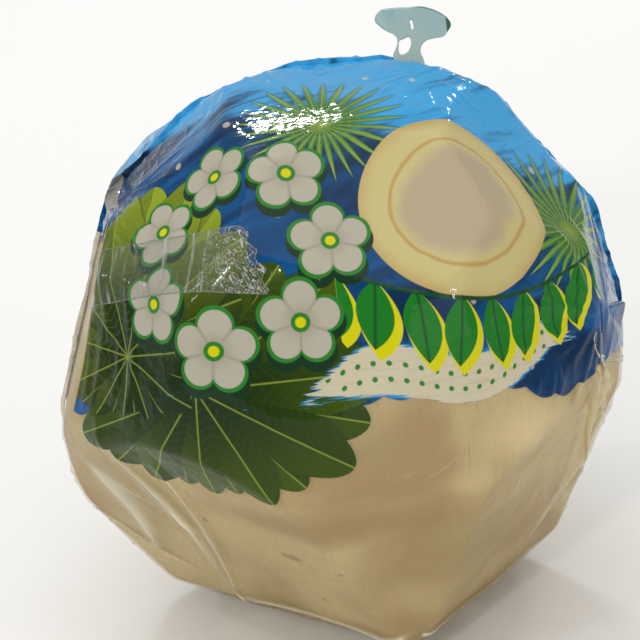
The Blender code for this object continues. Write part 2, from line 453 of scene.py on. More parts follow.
husk_mesh = husk_ball.copy()
husk_mesh.vertices.foreach_set("co", (heart + husk_ways * husk_radius[:, None]).ravel())
husk_mesh.shade_smooth()
husk = new_piece("Trimmed_Husk", husk_mesh)
lay_label(husk, husk_ways)
husk_skin = BVHTree.FromPolygons(
    [vert.co for vert in husk.data.vertices], [tuple(face.vertices) for face in husk.data.polygons]
)
print("husk with", len(husk.data.polygons), "faces, fibre marks up to", round(husk_dip.max(), 2), "mm deep")

# %% [markdown]
# ## The film's height over the husk
# The film lies on the rounded edges of the facets and spans the hollows between them, so it takes the higher
# of two evened-out reaches, one barely smoothed and one smoothed over a wide stretch. It never comes nearer
# to the husk than a thin gap. The folds and the swell stand on that, and its points are kept inside the box
# of the solids. How far it stands off the husk is kept for each point, because film that touches a moist husk
# is clear and film that stands off it is milky.

# %% Shape the film
FILM_GAP = 0.4 * MM
LEAST_GAP = 0.12 * MM
CROWN_ANGLE = 59.0
CROWN_LIFT = 2.2
CROWN_SPREAD = 14.0
TIGHT_ROUNDS = 14
SLACK_ROUNDS = 90
BOX_PLAY = 0.05 * MM
MOST_LOOSE = 3.0
film_tight = relax(film_reach, film_pairs, TIGHT_ROUNDS)
film_slack = relax(film_reach, film_pairs, SLACK_ROUNDS)
film_folds = relax(film_lift, film_pairs, 1)
crown = LABEL_RADIUS * np.arccos(np.clip(film_ways @ weld_way(CROWN_ANGLE), -1.0, 1.0))
film_gather = CROWN_LIFT * np.exp(-((crown / CROWN_SPREAD) ** 2))
film_radius = np.maximum(film_tight, film_slack) + FILM_GAP
film_radius += (np.maximum(film_folds + swell, -0.2) + film_gather) * MM
husk_below = reach(husk_skin, film_ways)
film_radius = np.maximum(film_radius, husk_below + LEAST_GAP)
film_places = heart + film_ways * film_radius[:, None]
film_places = np.clip(film_places, np.array(CAD_LOW) + BOX_PLAY, np.array(CAD_HIGH) - BOX_PLAY)
film_radius = np.linalg.norm(film_places - heart, axis=1)
film_loose = np.clip((film_radius - husk_below) / MM, 0.0, MOST_LOOSE)
print("film stands off", round(film_loose.min(), 2), "to", round(film_loose.max(), 2), "mm")

# %% [markdown]
# ## Two welded sheets
# The bag's front and back are two sheets, so they are two pieces, parted along the ring of points on the
# weld. Each gets a UV map that holds its label coordinates, for the print, and keeps the stand-off and the
# height of its folds, for its clear parts.

# %% Part the film and lay the label on it
def film_sheet(name, front):
    """The front or the back sheet: the film's faces on one side of the weld."""
    corners = np.empty(len(film_ball.loops), dtype=np.int32)
    film_ball.loops.foreach_get("vertex_index", corners)
    corners = corners.reshape(-1, 4)
    ahead = (film_ways @ seam_out)[corners].mean(axis=1)
    chosen = corners[ahead > 0 if front else ahead < 0]
    used, renamed = np.unique(chosen, return_inverse=True)
    mesh = bpy.data.meshes.new(name)
    mesh.from_pydata(film_places[used].tolist(), [], renamed.reshape(-1, 4).tolist())
    mesh.shade_smooth()
    sheet = new_piece(name, mesh)
    lay_label(sheet, film_ways[used], not front)
    keep_value(sheet, "loose", film_loose[used])
    keep_value(sheet, "fold", film_folds[used])
    return sheet


film_front = film_sheet("Film_Front", True)
film_back = film_sheet("Film_Back", False)
film_skin = BVHTree.FromPolygons(
    [Vector(place) for place in film_places], [tuple(face.vertices) for face in film_ball.polygons]
)
print("film sheets with", len(film_front.data.polygons), "and", len(film_back.data.polygons), "faces")

# %% [markdown]
# ## Sheets that stand off the film
# The ear, the flap and the crumpled film below it are where the bag's corners were welded and shrank
# together. Each is a small pleated sheet, and both its long edges are read from the photograph. Its root lies
# on the film and its tips lie some millimetres ahead of the weld's plane, and pleats between them grow
# towards the tips. A thin Solidify gives each its two faces.

# %% Helper for pleated sheets
FIN_THICKNESS = 0.16 * MM
ROOT_LIFT = 0.1 * MM


def smooth_path(points, count):
    """Evenly stepped points along a smooth curve through the given points."""
    points = np.array([list(p) for p in points], float)
    knots = np.concatenate(([0.0], np.cumsum(np.linalg.norm(np.diff(points, axis=0), axis=1))))
    tangents = np.gradient(points, knots, axis=0)
    made = []
    for step in np.linspace(0.0, knots[-1], count):
        i = min(np.searchsorted(knots, step, side="right") - 1, len(points) - 2)
        span = knots[i + 1] - knots[i]
        t = (step - knots[i]) / span
        rise = t * t * (3.0 - 2.0 * t)
        bend = t * (1.0 - t) ** 2 * tangents[i] - t * t * (1.0 - t) * tangents[i + 1]
        made.append(points[i] * (1.0 - rise) + points[i + 1] * rise + span * bend)
    return np.array(made)


def grid_mesh(name, rows):
    """A mesh from a grid of places, rows by columns."""
    high, wide = rows.shape[:2]
    faces = [(r * wide + c, r * wide + c + 1, (r + 1) * wide + c + 1, (r + 1) * wide + c)
             for r in range(high - 1) for c in range(wide - 1)]
    mesh = bpy.data.meshes.new(name)
    mesh.from_pydata(rows.reshape(-1, 3).tolist(), [], faces)
    mesh.shade_smooth()
    return mesh


def ways_to(places):
    """The directions from the heart to places, one row each."""
    offsets = places.reshape(-1, 3) - heart
    return offsets / np.linalg.norm(offsets, axis=1)[:, None]


def thicken(item, thickness, offset=0.0):
    """Gives a sheet its two faces."""
    skin = item.modifiers.new("thickness", "SOLIDIFY")
    skin.thickness = thickness
    skin.offset = offset


def on_film(pixel):
    """The point of the film that a pixel shows."""
    way = through(pixel)
    return film_skin.ray_cast(camera_place, way)[0] - way * ROOT_LIFT


def pleated_sheet(name, root_pixels, tip_pixels, ahead, pleats, depth, draw, bare=1.0, columns=90, rows=26):
    """A sheet from a root line on the film to a tip line ahead of the weld's plane, both given as pixels."""
    root = smooth_path([on_film(p) for p in root_pixels], columns)
    tip = smooth_path([on_weld(p, ahead) for p in tip_pixels], columns)
    along = np.linspace(0.0, 1.0, columns)
    drift = 0.9 * np.sin(2.0 * math.pi * (1.7 * along + draw.random()))
    wave = np.sin(2.0 * math.pi * pleats * along + drift)
    wave += 0.35 * np.sin(2.0 * math.pi * pleats * 2.3 * along + draw.uniform(0.0, 6.0))
    grid = []
    for share in np.linspace(0.0, 1.0, rows):
        line = root * (1.0 - share) + tip * share
        stray = np.convolve(draw.normal(0.0, 0.06, columns), np.ones(5) / 5.0, mode="same")
        push = (depth * wave * share**0.8 + stray * share) * MM
        grid.append(line + push[:, None] * seam_out)
    grid = np.array(grid)
    sheet = new_piece(name, grid_mesh(name, grid))
    ways = ways_to(grid)
    lay_label(sheet, ways)
    keep_value(sheet, "loose", np.full(len(ways), MOST_LOOSE))
    keep_value(sheet, "bare", np.full(len(ways), bare))
    thicken(sheet, FIN_THICKNESS)
    return sheet


# %% The ear, the flap and the crumple
fin_draw = np.random.default_rng(5)
EAR_TIPS = ((113, 178), (107, 192), (104.6, 200), (106.4, 208), (107, 216), (110, 226))
EAR_ROOTS = ((125, 170), (122, 186), (118, 198), (119, 208), (117, 217), (113, 230))
FLAP_TIPS = ((606, 302.5), (625, 304.2), (625, 306), (622, 320), (619.5, 330.5), (614, 334))
FLAP_ROOTS = ((601, 303), (601, 309), (601.5, 316), (602, 322), (602, 328), (602, 333))
CRUMPLE_TIPS = ((616, 334), (616.6, 341), (618.5, 350), (623.5, 356.5), (621, 362), (614, 366))
CRUMPLE_ROOTS = ((596, 332), (594, 339), (595, 347), (598, 355), (602, 362), (605, 369))
weld_ear = pleated_sheet("Weld_Ear", EAR_ROOTS, EAR_TIPS, 8.0, 4, 0.6, fin_draw, 0.55)
weld_flap = pleated_sheet("Weld_Flap", FLAP_ROOTS, FLAP_TIPS, 16.0, 1.2, 0.5, fin_draw, 0.0)
weld_crumple = pleated_sheet("Weld_Crumple", CRUMPLE_ROOTS, CRUMPLE_TIPS, 14.0, 4.5, 0.8, fin_draw)
print("pleated sheets:", weld_ear.name, weld_flap.name, weld_crumple.name)

# %% [markdown]
# ## The weld's ridge
# Round the rest of the coconut the weld is a narrow, ruffled ridge, trimmed close by the sealing bar. Its
# foot is on the film, measured by casting a ray outwards in each direction of the weld's plane.

# %% Run the ridge round the weld
RIDGE_HEIGHT = 1.3
RIDGE_ROWS = 5
RIDGE_FOOT = 0.036
RIDGE_FADE = 0.008
RIDGE_SINK = 0.15
RIDGE_PLAY = 0.15 * MM
RIDGE_STEPS = 900
ridge_angles = np.linspace(-24.0, 204.0, RIDGE_STEPS)
ridge_turns = np.radians(ridge_angles)
ridge_wave = 0.28 * np.sin(ridge_turns * 61.0 + 2.0 * np.sin(ridge_turns * 9.0))
ridge_wave += 0.08 * np.sin(ridge_turns * 143.0)
ridge_high = RIDGE_HEIGHT * (0.75 + 0.25 * np.sin(ridge_turns * 17.0 + 1.0) * np.sin(ridge_turns * 5.0))
ridge_ways = np.array([weld_way(angle) for angle in ridge_angles])
ridge_reach = reach(film_skin, ridge_ways)
ridge_fade = np.clip((ridge_ways[:, 2] * ridge_reach + heart[2] - RIDGE_FOOT) / RIDGE_FADE, 0.0, 1.0)
ridge_rows = []
for share in np.linspace(0.0, 1.0, RIDGE_ROWS):
    out = ridge_reach + (share * ridge_high * ridge_fade - RIDGE_SINK) * MM
    side = (ridge_wave * share * ridge_fade) * MM
    ridge_rows.append(heart + ridge_ways * out[:, None] + side[:, None] * seam_out)
ridge_rows = np.clip(np.array(ridge_rows), np.array(CAD_LOW) + RIDGE_PLAY, np.array(CAD_HIGH) - RIDGE_PLAY)
weld_ridge = new_piece("Weld_Ridge", grid_mesh("Weld_Ridge", ridge_rows))
RIDGE_LOOSE = 1.2
point_ways = ways_to(ridge_rows)
lay_label(weld_ridge, point_ways)
keep_value(weld_ridge, "loose", np.full(len(point_ways), RIDGE_LOOSE))
thicken(weld_ridge, FIN_THICKNESS)
print("ridge of", RIDGE_STEPS, "steps,", round(ridge_high.mean(), 2), "mm high on average")

# %% [markdown]
# ## The shrunken tab
# On top stands the bag's hanging tab. The heat of the shrink tunnel has drawn it together into a thick,
# flat-topped cap on a short stem, with the hanging hole pulled to an oval and a slit above it. Its outline is
# a closed curve, read from the photograph, with the hole and the slit as curves inside it. The filled curve
# is turned into an even grid of small faces, so that the cap can then be bent a little, as melted plastic
# sets.

# %% Outline the tab
TAB_RIM = (
    (375, 20), (380, 11), (388, 6.8), (400, 6), (424, 7), (437, 11), (447, 17.5), (451, 24), (448, 30.5),
    (444, 35.5), (434, 38), (426, 40.5), (421, 46.5), (420.5, 52), (423.5, 60), (424, 70), (396, 64),
    (393.5, 55), (396.3, 48), (397.6, 43), (397.3, 38.5), (394, 34.3), (387, 31), (380, 26),
)
TAB_EYE = (
    (399.0, 41.2), (403.6, 38.7), (409.5, 37.0), (411.4, 41.8), (409.6, 49.5), (405.3, 53.8),
    (400.2, 54.6), (398.2, 49), (398.4, 45),
)
TAB_SLIT = ((410.4, 19.5), (413.7, 25.5), (412.9, 30), (410.4, 25.5))
TAB_GREEN_EDGE = ((410, 7), (424, 7.6), (437, 11.5), (447.5, 18), (450.5, 24), (448.5, 29.5))
TAB_HALF = 0.34 * MM
TAB_EDGE = 0.08 * MM
TAB_DARK_END = (446.5, 22)
TAB_GRAIN = 0.17 * MM

tab_root = on_weld((412, 60))
tab_turn = Matrix((
    (1.0, 0.0, 0.0, tab_root.x),
    (0.0, seam_up[1], seam_out[1], tab_root.y),
    (0.0, seam_up[2], seam_out[2], tab_root.z),
    (0.0, 0.0, 0.0, 1.0),
))


def on_tab(pixel):
    """The place of a pixel in the tab's own flat frame."""
    offset = on_weld(pixel) - tab_root
    return offset.x, offset.dot(Vector(seam_up)), 0.0


def tab_curve():
    """The tab's outline, hole and slit as one filled curve with rounded edges."""
    curve = bpy.data.curves.new("Top_Tab", "CURVE")
    curve.dimensions = "2D"
    curve.fill_mode = "BOTH"
    curve.resolution_u = 8
    curve.extrude = TAB_HALF
    curve.bevel_depth = TAB_EDGE
    curve.bevel_resolution = 2
    for outline in (TAB_RIM, TAB_EYE, TAB_SLIT):
        spline = curve.splines.new("BEZIER")
        spline.bezier_points.add(len(outline) - 1)
        spline.use_cyclic_u = True
        for knot, pixel in zip(spline.bezier_points, outline):
            knot.co = on_tab(pixel)
            knot.handle_left_type = "AUTO"
            knot.handle_right_type = "AUTO"
    return bpy.data.objects.new("Top_Tab_outline", curve)


# %% Build the tab
def as_mesh(item):
    """A mesh of an object as it looks with its modifiers."""
    bpy.context.view_layer.update()
    return bpy.data.meshes.new_from_object(item.evaluated_get(bpy.context.evaluated_depsgraph_get()))


tab_outline = tab_curve()
bpy.context.scene.collection.objects.link(tab_outline)
top_tab = new_piece("Top_Tab", as_mesh(tab_outline))
bpy.data.objects.remove(tab_outline)
even_faces = top_tab.modifiers.new("even faces", "REMESH")
even_faces.mode = "VOXEL"
even_faces.voxel_size = TAB_GRAIN
soft_edges = top_tab.modifiers.new("soft edges", "SMOOTH")
soft_edges.iterations = 5
tab_mesh = as_mesh(top_tab)
top_tab.modifiers.clear()
top_tab.data = tab_mesh
tab_places = points_of(tab_mesh)
tab_bend = 1.1 * (tab_places[:, 0] / 0.008) ** 2 * np.clip(tab_places[:, 1] / 0.006, 0.0, 1.0)
tab_bend += 0.25 * np.sin(tab_places[:, 0] * 700.0 + tab_places[:, 1] * 300.0)
green_line = smooth_path([on_tab(p) for p in TAB_GREEN_EDGE], 60)[:, :2]
to_edge = np.min(np.linalg.norm(tab_places[:, None, :2] - green_line[None, :, :], axis=2), axis=1)
edge_width = np.where(tab_places[:, 0] > on_tab(TAB_DARK_END)[0], 0.9 * MM, 0.12 * MM)
rim_share = np.clip((edge_width - to_edge) / (0.2 * MM) + 0.5, 0.0, 1.0)
tab_places[:, 2] -= np.clip(tab_bend, -0.4, 1.6) * MM
tab_mesh.vertices.foreach_set("co", tab_places.ravel())
tab_mesh.transform(tab_turn)
tab_places = np.minimum(points_of(tab_mesh), np.array(CAD_HIGH) - BOX_PLAY)
tab_mesh.vertices.foreach_set("co", tab_places.ravel())
keep_value(top_tab, "rim", rim_share)
tab_mesh.shade_smooth()
print("tab with", len(tab_mesh.polygons), "faces")

# %% [markdown]
# ## The clear tape
# A strip of clear adhesive tape mends such a bag or holds its ticket. Here it runs over the print's left
# side. It follows the film a hair's breadth above it, with air trapped in a few pleats, and its right end was
# torn off across and crinkled.

# %% Lay the tape on the film
TAPE_LEFT_LOW = (97, 307)
TAPE_MIDDLE_LOW = (150, 297)
TAPE_RIGHT_LOW = (268, 295)
TAPE_WIDTH = 14.5
TAPE_LIFT = 0.14
TAPE_THICKNESS = 0.06 * MM
CRINKLE_LENGTH = 16.0
CRINKLE_FADE = 12.0
TAPE_COLUMNS = 190
TAPE_ROWS = 50
tape_draw = np.random.default_rng(3)
tape_low = [label_spot(TAPE_RIGHT_LOW), label_spot(TAPE_MIDDLE_LOW), label_spot(TAPE_LEFT_LOW)]
tape_low.append(tape_low[-1] + (tape_low[-1] - tape_low[-2]) * 0.25)
tape_line = smooth_path([(*p, 0.0) for p in tape_low], TAPE_COLUMNS)[:, :2]
tape_rows = []
for share in np.linspace(0.0, 1.0, TAPE_ROWS):
    for index, low in enumerate(tape_line):
        left = 1.0 - index / TAPE_COLUMNS
        slant = 5.5 * max(0.0, share - 0.35) * left**8
        tooth = 0.5 * math.sin(share * 23.0) * left**30
        tape_rows.append(way_to(low + np.array((tooth - slant, share * TAPE_WIDTH))))
tape_ways = np.array(tape_rows)
tape_u, tape_v = label_of(tape_ways, np.zeros(len(tape_ways), bool))
tape_end = np.clip((tape_u - tape_u.max() + CRINKLE_LENGTH) / CRINKLE_FADE, 0.0, 1.0)
tape_puffs = np.maximum(ripple(tape_ways, 1.9, 30, tape_draw), 0.0) * tape_end * 0.13
tape_waves = np.maximum(np.sin(tape_u * 1.15 + 1.1 * np.sin(tape_v * 0.4)), 0.0) ** 6
tape_pleats = tape_waves * 0.12 * (1.0 - tape_end)
tape_radius = reach(film_skin, tape_ways) + (TAPE_LIFT + tape_puffs + tape_pleats) * MM
tape_places = (heart + tape_ways * tape_radius[:, None]).reshape(TAPE_ROWS, TAPE_COLUMNS, 3)
tape = new_piece("Clear_Tape", grid_mesh("Clear_Tape", tape_places))
lay_label(tape, tape_ways)
keep_value(tape, "end", tape_end)
from_edge = np.minimum(np.arange(TAPE_ROWS), np.arange(TAPE_ROWS)[::-1])[:, None] * np.ones(TAPE_COLUMNS)
from_edge = np.minimum(from_edge, np.arange(TAPE_COLUMNS)[None, :])
keep_value(tape, "rim", np.clip(1.5 - from_edge, 0.0, 1.0))
thicken(tape, TAPE_THICKNESS, 1.0)
tape_box = [np.round(tape_places.min(axis=(0, 1)) / MM, 1), np.round(tape_places.max(axis=(0, 1)) / MM, 1)]

# %% [markdown]
# ## Writing a material as sums
# The print is a drawing, and a drawing in nodes is a long chain of sums: how far a point is from a shape's
# edge decides which ink covers it. Wiring them by hand is slow to read, so a small class lets a material be
# written as ordinary sums, each of which adds one Math node.

# %% Sums that add nodes
class Ink:
    """A number or a colour inside a material's nodes."""

    def __init__(self, tree, socket):
        self.tree = tree
        self.socket = socket

    def __add__(self, other):
        return calc("ADD", self, other)

    def __sub__(self, other):
        return calc("SUBTRACT", self, other)

    def __rsub__(self, other):
        return calc("SUBTRACT", other, self)

    def __mul__(self, other):
        return calc("MULTIPLY", self, other)

    __radd__ = __add__
    __rmul__ = __mul__


def feed(socket, value):
    """Sets a socket from a plain value, or links it to an ink."""
    if isinstance(value, Ink):
        value.tree.links.new(value.socket, socket)
    else:
        socket.default_value = value


def tree_of(*values):
    """The nodes that the first ink among some values belongs to."""
    return next(value.tree for value in values if isinstance(value, Ink))


def add_node(tree, kind, inputs, output=0, **settings):
    """A new node with its settings and what goes into it, as the ink of one of its outputs."""
    node = tree.nodes.new("ShaderNode" + kind)
    for setting, value in settings.items():
        setattr(node, setting, value)
    for socket, value in inputs.items():
        feed(node.inputs[socket], value)
    return Ink(tree, node.outputs[output])


def calc(operation, *values):
    """One Math node."""
    return add_node(tree_of(*values), "Math", dict(enumerate(values)), operation=operation)


def between(value, low, high, soft=True):
    """0 at low, 1 at high, and a ramp between them."""
    falls = low > high
    inputs = {"Value": value, "From Min": min(low, high), "From Max": max(low, high)}
    inputs["To Min"] = float(falls)
    inputs["To Max"] = float(not falls)
    ramp = "SMOOTHSTEP" if soft else "LINEAR"
    return add_node(value.tree, "MapRange", inputs, "Result", interpolation_type=ramp)


def inside(distance, blur=0.12):
    """1 where a distance to an edge is below zero, with an edge as sharp as a print's."""
    return between(distance, blur, -blur, False)


# %% Colours, places and textures
def shade(red, green, blue):
    """A colour given as screen values from 0 to 255."""
    linear = [((c / 255 + 0.055) / 1.055) ** 2.4 if c > 10 else c / 255 / 12.92 for c in (red, green, blue)]
    return (*linear, 1.0)


def mix(under, over, share):
    """One colour laid over another."""
    inputs = {0: share, 6: under, 7: over}
    return add_node(tree_of(share, under, over), "Mix", inputs, 2, data_type="RGBA")


def point(x, y, z=0.0):
    """A place made of three numbers."""
    return add_node(tree_of(x, y, z), "CombineXYZ", {0: x, 1: y, 2: z})


def parts_of(place):
    """The three numbers of a place."""
    node = place.tree.nodes.new("ShaderNodeSeparateXYZ")
    feed(node.inputs[0], place)
    return [Ink(place.tree, out) for out in node.outputs]


def cloud(place, scale, detail=2.0, roughness=0.5, bend=0.0):
    """Soft noise from 0 to 1."""
    inputs = {"Vector": place, "Scale": scale, "Detail": detail, "Roughness": roughness, "Distortion": bend}
    return add_node(place.tree, "TexNoise", inputs, "Fac")


def ridges(place, scale, sharp, detail=1.0, bend=0.0):
    """Thin winding lines, 1 on their crests: noise is folded at its middle value."""
    return calc("POWER", 1.0 - calc("ABSOLUTE", cloud(place, scale, detail, 0.5, bend) * 2.0 - 1.0), sharp)


def kept(tree, name):
    """A number kept on the mesh's points."""
    return add_node(tree, "Attribute", {}, "Fac", attribute_name=name)


def label_place(tree):
    """The label coordinates, in millimetres."""
    across, upward, _ = parts_of(add_node(tree, "UVMap", {}, uv_map="label"))
    return (across - 0.5) * UV_SPAN, (upward - 0.5) * UV_SPAN


def body_place(tree):
    """The place on the body, in metres."""
    return add_node(tree, "TexCoord", {}, "Object")


def far_from(u, v, pixel, wide, high):
    """How far a place is from the spot that a pixel shows, as a share of a patch's half width and height."""
    spot = label_spot(pixel)
    across = (u - float(spot[0])) * (1.0 / wide)
    upward = (v - float(spot[1])) * (1.0 / high)
    return calc("SQRT", across * across + upward * upward)


def from_path(u, v, pixels):
    """How far a place is, in millimetres, from the path that pixels show."""
    spots = [label_spot(pixel) for pixel in pixels]
    nearest = None
    for first, last in zip(spots, spots[1:]):
        length = float(np.hypot(*(last - first)))
        right, up = [float(part) for part in (last - first) / length]
        x = u - float(first[0])
        y = v - float(first[1])
        along = x * right + y * up
        past = calc("MAXIMUM", calc("MAXIMUM", along * -1.0, along - length), 0.0)
        aside = y * right - x * up
        far = calc("SQRT", past * past + aside * aside)
        nearest = calc("MINIMUM", nearest, far) if nearest else far
    return nearest


def finish_of(name, looks, relief=0.1, **fixed):
    """A Principled material. Its looks function makes inks for what varies, and a height for bumps."""
    material = bpy.data.materials.new(name)
    material.use_nodes = True
    tree = material.node_tree
    shader = tree.nodes["Principled BSDF"]
    inks = looks(tree)
    if "Height" in inks:
        bump = tree.nodes.new("ShaderNodeBump")
        bump.inputs["Distance"].default_value = relief * MM
        feed(bump.inputs["Height"], inks.pop("Height"))
        inks["Normal"] = Ink(tree, bump.outputs[0])
    for socket, value in inks.items():
        feed(shader.inputs[socket], value)
    for socket, value in fixed.items():
        shader.inputs[socket.replace("_", " ")].default_value = value
    print("material", name, "has", len(tree.nodes), "nodes")
    return material


# %% [markdown]
# ## The husk's finish
# Fresh husk is cream where the knife went shallow and tan where it went deep, with fine fibres that run from
# pole to pole and small brown bruises. The fibres are noise that is stretched along the upright axis. The
# bruises are placed from the photograph, and so are broad patches of painted light and painted shade: pale
# and cream painted light on the bulge at the right and on the low facets that face down, and an umber band of
# painted shade where the surface turns under.

# %% Husk material
HUSK_CREAM = shade(208, 190, 142)
# The pale colour of painted light.
HUSK_PAINTED_LIGHT = shade(236, 218, 168)
# The umber colour of painted shade.
HUSK_PAINTED_SHADE = shade(152, 120, 76)
# Patches of painted light and painted shade on the husk: pixel, half width and height in mm, colour, share.
LIGHT_AND_SHADE_PATCHES = (
    ((537, 428), 15.0, 9.0, HUSK_PAINTED_LIGHT, 1.0),
    ((575, 430), 9.0, 14.0, HUSK_CREAM, 0.8),
    ((420, 600), 30.0, 8.0, HUSK_CREAM, 0.5),
    ((480, 480), 12.0, 4.0, HUSK_PAINTED_LIGHT, 0.3),
    ((340, 530), 40.0, 7.0, HUSK_PAINTED_SHADE, 0.75),
    ((575, 500), 9.0, 12.0, HUSK_PAINTED_LIGHT, 0.8),
    ((500, 560), 20.0, 6.0, HUSK_CREAM, 0.6),
)
BRUISES = (((292, 558), 3.6, 1.5), ((325, 600), 1.4, 0.5), ((341, 576), 1.2, 0.4), ((205, 520), 1.0, 1.4))
HUSK_TAN = shade(172, 142, 98)
HUSK_OLIVE = shade(166, 156, 112)
HUSK_BROWN = shade(112, 86, 58)


def husk_looks(tree):
    """Cream husk with fibres and a few bruises, with patches of painted light and painted shade."""
    place = body_place(tree)
    x, y, z = parts_of(place)
    fine = cloud(point(x * 9.0, y * 9.0, z), 110.0, 3.0, 0.6)
    broad = cloud(place, 26.0, 3.0, 0.5, 0.4)
    damp = cloud(point(x + 0.7, y, z * 1.6), 34.0, 2.0)
    colour = mix(HUSK_CREAM, HUSK_TAN, between(broad, 0.42, 0.66))
    colour = mix(colour, HUSK_OLIVE, between(damp, 0.5, 0.72) * 0.7)
    colour = mix(colour, HUSK_TAN, between(fine, 0.5, 0.78) * 0.55)
    specks = between(cloud(point(x * 3.0, y * 3.0, z * 1.2), 420.0, 1.0), 0.72, 0.8)
    colour = mix(colour, HUSK_BROWN, specks * 0.35)
    u, v = label_place(tree)
    # Patches of painted light and painted shade.
    for pixel, wide, high, tone, share in LIGHT_AND_SHADE_PATCHES:
        colour = mix(colour, tone, between(far_from(u, v, pixel, wide, high) + broad * 0.5, 1.5, 0.4) * share)
    for pixel, wide, high in BRUISES:
        colour = mix(colour, HUSK_BROWN, between(far_from(u, v, pixel, wide, high) + fine, 1.7, 1.0) * 0.55)
    height = fine * 0.7 + cloud(place, 900.0, 2.0) * 0.3
    return {"Base Color": colour, "Roughness": between(damp, 0.3, 0.8) * 0.2 + 0.45, "Height": height}


husk_finish = finish_of("Moist husk", husk_looks, relief=0.25)
husk.data.materials.append(husk_finish)

# %% [markdown]
# ## The print
# The film carries a bright, generic fruit-bag print: water and sky, a pale sun, palm fronds, broad leaves, a
# wreath of pale blossoms and a garland of small leaves. Every motif is a distance to its own edge. A motif
# that repeats is drawn once, in coordinates that are folded so that each copy sees the same drawing.

# %% Inks
BLUE_DEEP = shade(0, 40, 76)
BLUE_MID = shade(0, 79, 136)
SKY = shade(58, 164, 222)
SUN_CREAM = shade(196, 184, 126)
SUN_GOLD = shade(176, 130, 60)
SUN_HEART = shade(176, 160, 134)
PETAL = shade(176, 170, 154)
PETAL_SHADE = shade(146, 140, 124)
GREEN_DARK = shade(22, 70, 34)
SHADOW_GREEN = shade(16, 50, 26)
GREEN_OUTLINE = shade(44, 122, 40)
GREEN_BRIGHT = shade(22, 116, 30)
RIB_GREEN = shade(150, 168, 66)
YELLOW = shade(206, 200, 4)
FROND_LIGHT = shade(120, 164, 58)
FROND_DARK = shade(46, 100, 46)
LEAF_LIME = shade(150, 170, 24)
LEAF_OLIVE = shade(66, 88, 2)
LEAF_DEEP = shade(14, 40, 2)
FOAM = shade(200, 190, 162)
CLEAR_TINT = shade(190, 168, 118)
MILKY = shade(218, 208, 178)
# The dark line of painted shade beside a crease.
CREASE_PAINTED_SHADE = shade(176, 146, 74)

# %% Motifs
HEM = -9.0
DROP_SCALE = 0.075
DROP_LIMIT = 84.0
SUN = (30.0, 30.0)
SUN_SIZE = 22.0
FROND_ROOTS = ((2.0, 54.0), (60.0, 22.0))
FROND_SPINS = (0.0, 0.1)
FROND_LEAVES = 26
TALL_ROOT = (-50.0, 4.0)
LOW_ROOT = (-30.0, -4.0)
FAN_LEAVES = 11
PRINT_RADIUS = 70.0
FOAM_MIDDLE = 24.0
DOT_STEP = 3.1
GARLAND_MIDDLE = 34.0
GARLAND_REACH = 33.0
GARLAND_STEP = 8.4
GARLAND_DROP = 14.5
WREATH = (-20.0, 24.0)
WREATH_PLACES = 7
WREATH_RADIUS = 21.0
BLOSSOM_SIZE = 8.3


def round_ring(u, v, middle, count, spin=0.0):
    """Folds the plane round a middle: how far out, how far aside, and the number of each repeat."""
    x = u - middle[0]
    y = v - middle[1]
    far = calc("SQRT", x * x + y * y)
    turn = calc("ARCTAN2", y, x) - spin
    step = 2.0 * math.pi / count
    number = calc("ROUND", turn * (1.0 / step))
    aside = turn - number * step
    return far, aside, number, turn


def blossom(aside, out, number, size):
    """A five-petalled blossom: the distance to its edge, to its middle, and how near a petal's midline is."""
    far = calc("SQRT", aside * aside + out * out)
    turn = calc("ARCTAN2", out, aside) + number * 1.7
    petal = calc("ABSOLUTE", calc("COSINE", turn * 2.5))
    return far - (calc("POWER", petal, 0.7) * 0.36 + 0.64) * size, far, petal


def leaf_fan(colour, u, v, root, count, spin, reach, light, dark, tip=1.0, widen=3.0):
    """Lays leaves that spread from a root over a colour. reach makes a leaf's length from its heading."""
    far, aside, number, _ = round_ring(u, v, root, count, spin)
    length = reach(number * (2.0 * math.pi / count) + spin)
    along = calc("DIVIDE", far, length)
    across = far * calc("SINE", aside)
    side = calc("ABSOLUTE", across)
    blade = calc("POWER", along, 0.5) * calc("POWER", calc("MAXIMUM", 1.0 - along, 0.0), tip)
    edge = side - blade * length * (widen / count) + calc("MAXIMUM", along - 1.0, 0.0) * length
    veins = inside(calc("FRACT", (far + side * 0.8) * (1.0 / 2.4)) - 0.2, 0.08)
    tone = mix(dark, light, between(along, 0.1, 0.95))
    tone = mix(tone, dark, between(across, -0.3, 0.3) * 0.4)
    tone = mix(tone, light, veins * 0.22)
    tone = mix(tone, dark, between(calc("SINE", number * 4.7), -1.0, 1.0) * 0.35)
    tone = mix(tone, RIB_GREEN, inside(side - 0.18, 0.12) * 0.6)
    leaves = inside(edge)
    colour = mix(colour, SHADOW_GREEN, between(edge, 1.1, 0.0) * between(along, 1.1, 0.9) * 0.5)
    return mix(colour, tone, leaves), leaves


# %% Water, sun and foam
def water(u, v):
    """Blue water and sky, in long brushed drifts, with a few pale drops."""
    drift = cloud(point(u * 0.5 + v * 0.4, v * 1.5 - u * 0.5), 0.042, 3.0, 0.55, 0.7)
    brush = cloud(point(u * 0.35 + v * 0.3, v * 2.4 - u * 1.0), 0.09, 2.0, 0.5, 1.0)
    colour = mix(BLUE_DEEP, BLUE_MID, between(drift, 0.36, 0.60))
    high = between(v + u * 0.35, 34.0, 80.0)
    colour = mix(colour, SKY, between(drift * 0.5 + brush * 0.6 + high * 0.36, 0.62, 0.88) * 0.95)
    drops = u.tree.nodes.new("ShaderNodeTexVoronoi")
    drops.voronoi_dimensions = "2D"
    feed(drops.inputs["Vector"], point(u, v * 0.8))
    drops.inputs["Scale"].default_value = DROP_SCALE
    pick, _, _ = parts_of(Ink(u.tree, drops.outputs["Color"]))
    far = Ink(u.tree, drops.outputs["Distance"]) * (1.0 / DROP_SCALE)
    drop = inside(far - pick - 0.6, 0.2) * calc("LESS_THAN", pick, 0.4)
    return mix(colour, FOAM, drop * inside(calc("SQRT", u * u + v * v) - DROP_LIMIT, 2.0) * 0.7)


